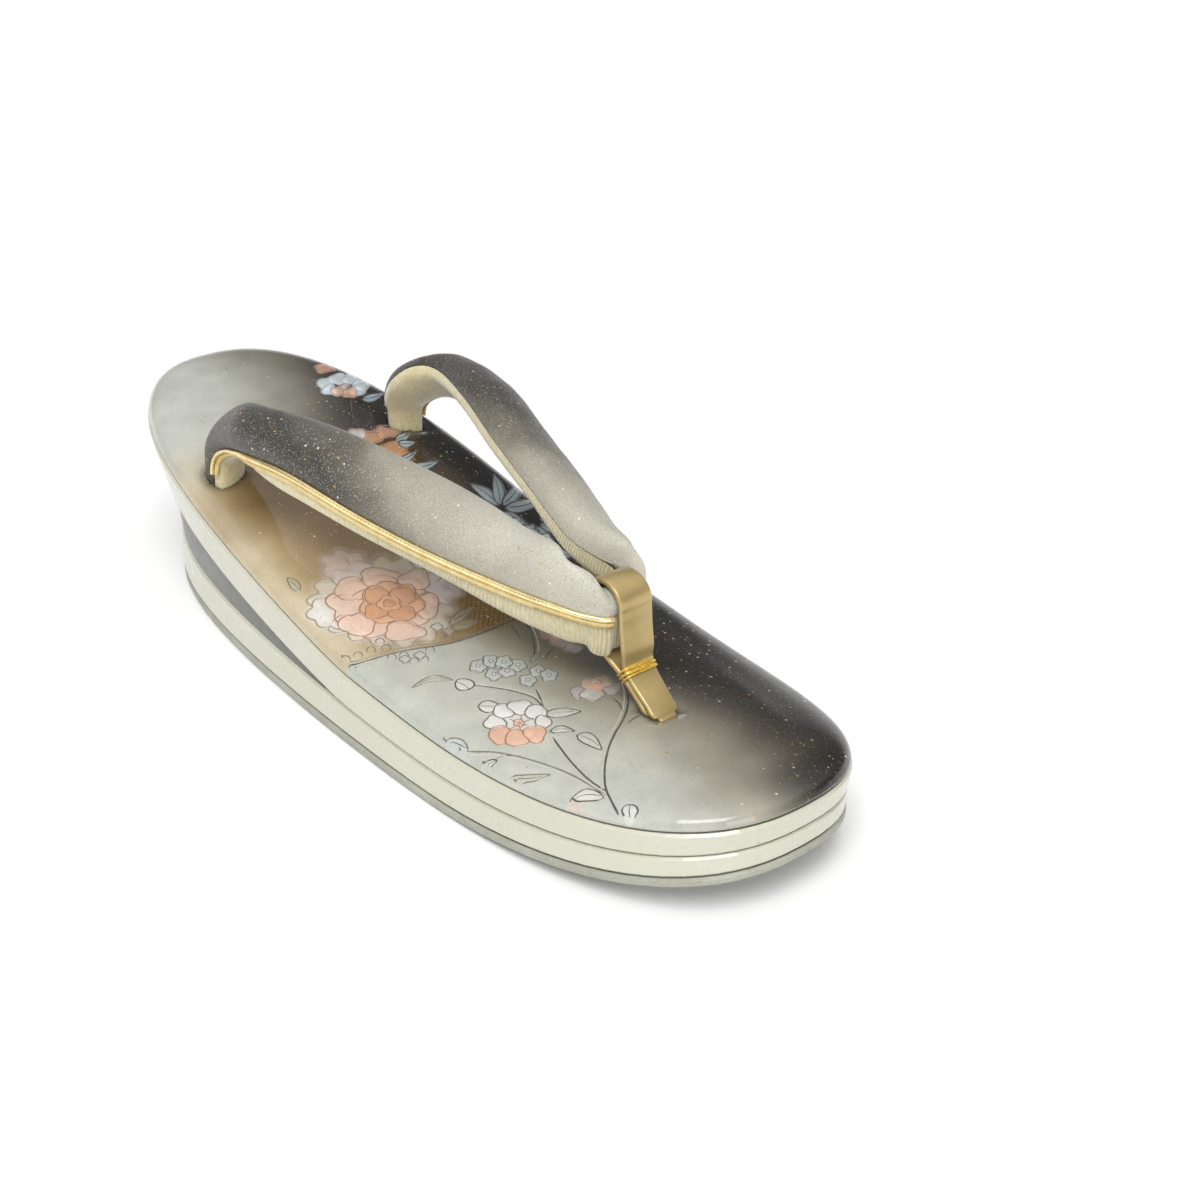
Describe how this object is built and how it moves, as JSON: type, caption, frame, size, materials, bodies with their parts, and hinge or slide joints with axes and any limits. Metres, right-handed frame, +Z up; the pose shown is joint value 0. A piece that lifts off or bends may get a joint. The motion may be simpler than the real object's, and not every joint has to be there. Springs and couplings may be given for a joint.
{
  "type": "zori sandal",
  "caption": "Flat-bottomed wedge sandal with a layered enamelled sole, crowned footbed, two padded V straps, corded edges and a bound toe post.",
  "frame": {"origin": "on the floor, under the middle of the sole", "axes": "+Y from toe to heel, +Z up, -X the outer side of a right foot"},
  "size_m": [0.0843, 0.24, 0.0672],
  "materials": {
    "outsole_rubber": "matte grey-green",
    "ivory_enamel": "glossy ivory enamelled leather",
    "grey_wedge": "satin grey",
    "glossy_footbed": "high gloss enamelled leather with a floral ornament",
    "strap_cloth": "fine woven cloth with metallic flecks",
    "strap_pile": "ribbed cream pile",
    "gold_leather": "satin gold leather",
    "gold_cord": "bright gold cord",
    "gold_thread": "gold thread"
  },
  "bodies": {
    "root": {"outsole": "outsole_rubber", "lower_layer": "ivory_enamel", "heel_wedge": "grey_wedge", "upper_layer": "ivory_enamel", "footbed": "glossy_footbed", "straps": "strap_cloth", "strap_lining": "strap_pile", "piping_left": "gold_cord", "piping_right": "gold_cord", "toe_post": "gold_leather", "binding_thread": "gold_thread"}
  },
  "joints": []
}
